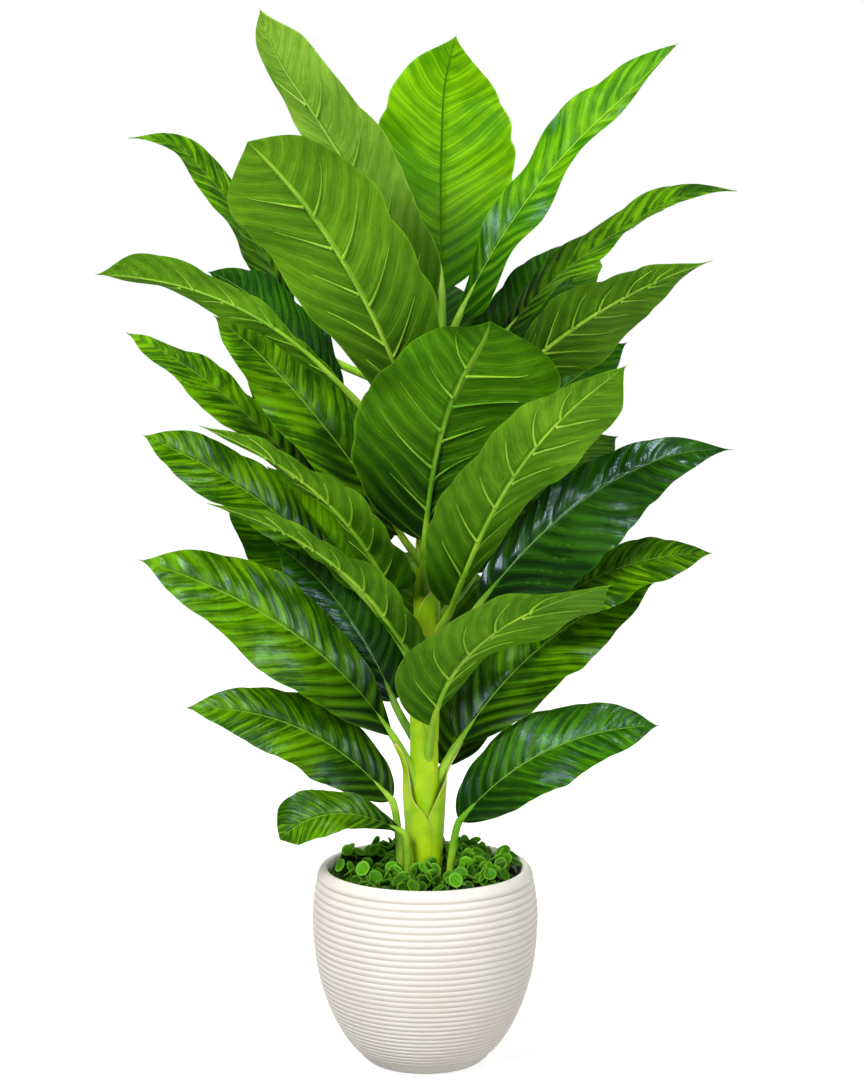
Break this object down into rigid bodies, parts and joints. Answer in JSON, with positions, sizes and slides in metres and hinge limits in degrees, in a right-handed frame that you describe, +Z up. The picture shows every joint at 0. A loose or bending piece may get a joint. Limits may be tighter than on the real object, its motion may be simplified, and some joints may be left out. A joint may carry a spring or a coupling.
{
  "type": "potted dieffenbachia",
  "caption": "Tall potted dieffenbachia: broad pointed leaves on short stalks rise from a sheathed green cane in a ribbed off-white bulb pot with a carpet of small round leaves.",
  "frame": {"origin": "centre of the pot's flat underside", "axes": "+Z up along the pot's axis, -Y towards the side with the front leaves, +X to the right seen from the front"},
  "size_m": [0.6282, 0.4516, 1.0521],
  "materials": {
    "pot": "matte",
    "soil": "matte",
    "ground_cover": "satin",
    "cane": "satin",
    "leaf": "gloss"
  },
  "bodies": {
    "root": {"pot": "pot", "soil": "soil", "ground_cover": "ground_cover", "cane": "cane", "leaf_top_left": "leaf", "leaf_top_centre": "leaf", "leaf_top_right": "leaf", "leaf_upper_left_front": "leaf", "leaf_upper_left_arch": "leaf", "leaf_left_long": "leaf", "leaf_left_dark": "leaf", "leaf_left_third": "leaf", "leaf_left_fourth": "leaf", "leaf_left_narrow_upper": "leaf", "leaf_left_narrow_lower": "leaf", "leaf_left_fifth": "leaf", "leaf_left_lowest": "leaf", "leaf_left_small": "leaf", "leaf_left_back_gloss": "leaf", "leaf_front_round": "leaf", "leaf_front_right": "leaf", "leaf_right_glossy": "leaf", "leaf_right_mid": "leaf", "leaf_right_under": "leaf", "leaf_front_low_right": "leaf", "leaf_right_lowest": "leaf", "leaf_right_arch": "leaf", "leaf_right_veined": "leaf", "leaf_right_dark": "leaf", "leaf_left_behind_long": "leaf", "leaf_left_wavy_back": "leaf", "leaf_left_back_low": "leaf", "leaf_left_bright_inner": "leaf", "leaf_right_back_high": "leaf", "leaf_back_left_high": "leaf", "leaf_back_right_high": "leaf", "leaf_back_centre": "leaf", "leaf_back_left_middle": "leaf", "leaf_back_right_middle": "leaf", "leaf_back_low": "leaf", "leaf_back_lowest": "leaf"}
  },
  "joints": []
}
